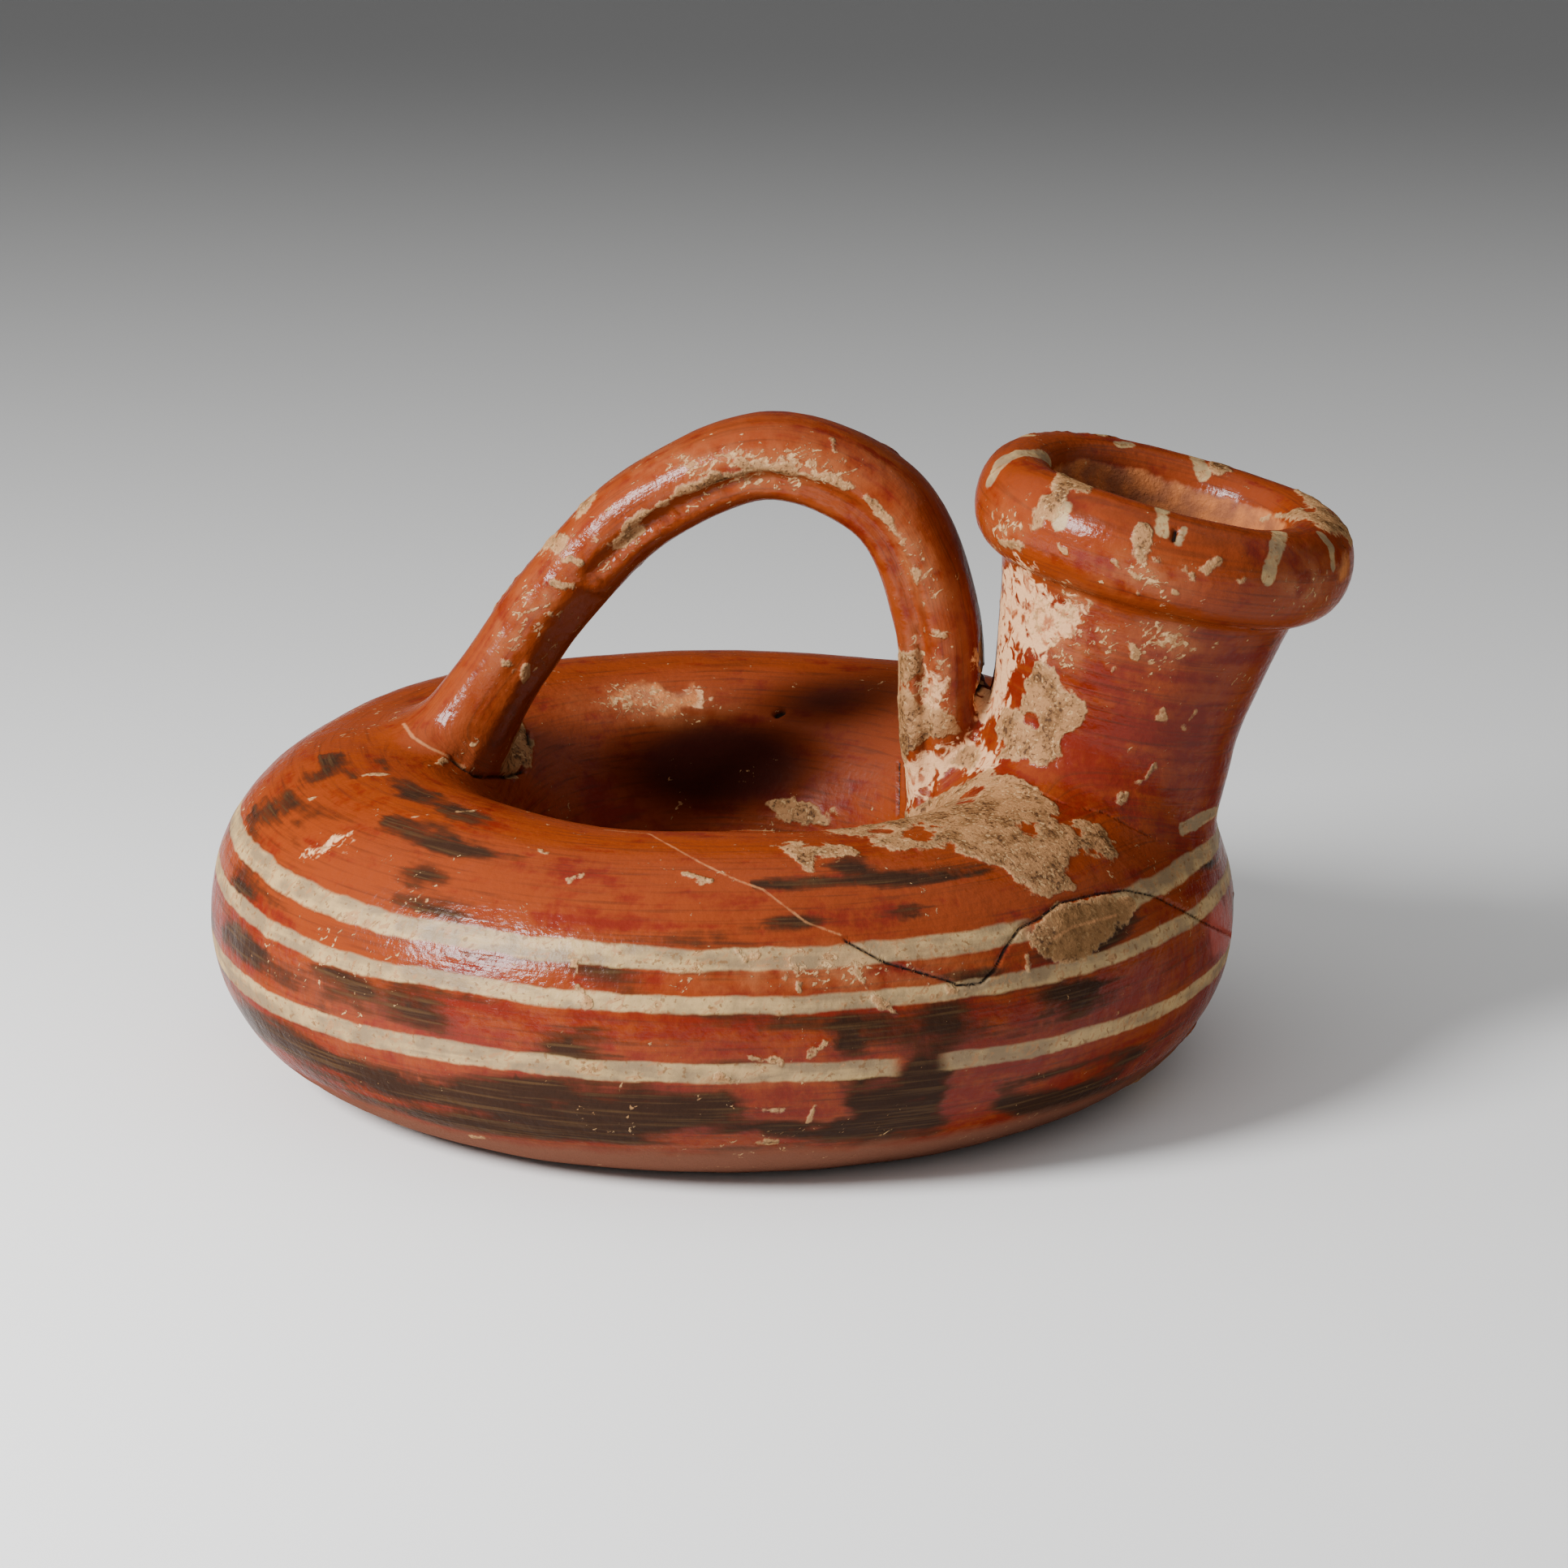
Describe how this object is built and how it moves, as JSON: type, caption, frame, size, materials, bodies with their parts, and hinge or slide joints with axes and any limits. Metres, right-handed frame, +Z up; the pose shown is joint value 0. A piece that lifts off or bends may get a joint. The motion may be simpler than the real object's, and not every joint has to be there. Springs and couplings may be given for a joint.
{
  "type": "ring askos",
  "caption": "Hollow ring-shaped clay pouring vessel with a leaning flared neck, a rolled lip and an arched strap handle.",
  "frame": {"origin": "under the middle of the bounding box, on the surface that the ring's foot stands on", "axes": "+X from the ring's centre towards the neck, +Z up"},
  "size_m": [0.1326, 0.12, 0.0756],
  "materials": {
    "slipped_clay": "burnished orange-red slip with fire clouds, cream painted bands and beige soil deposits"
  },
  "bodies": {
    "root": {"askos": "slipped_clay"}
  },
  "joints": []
}
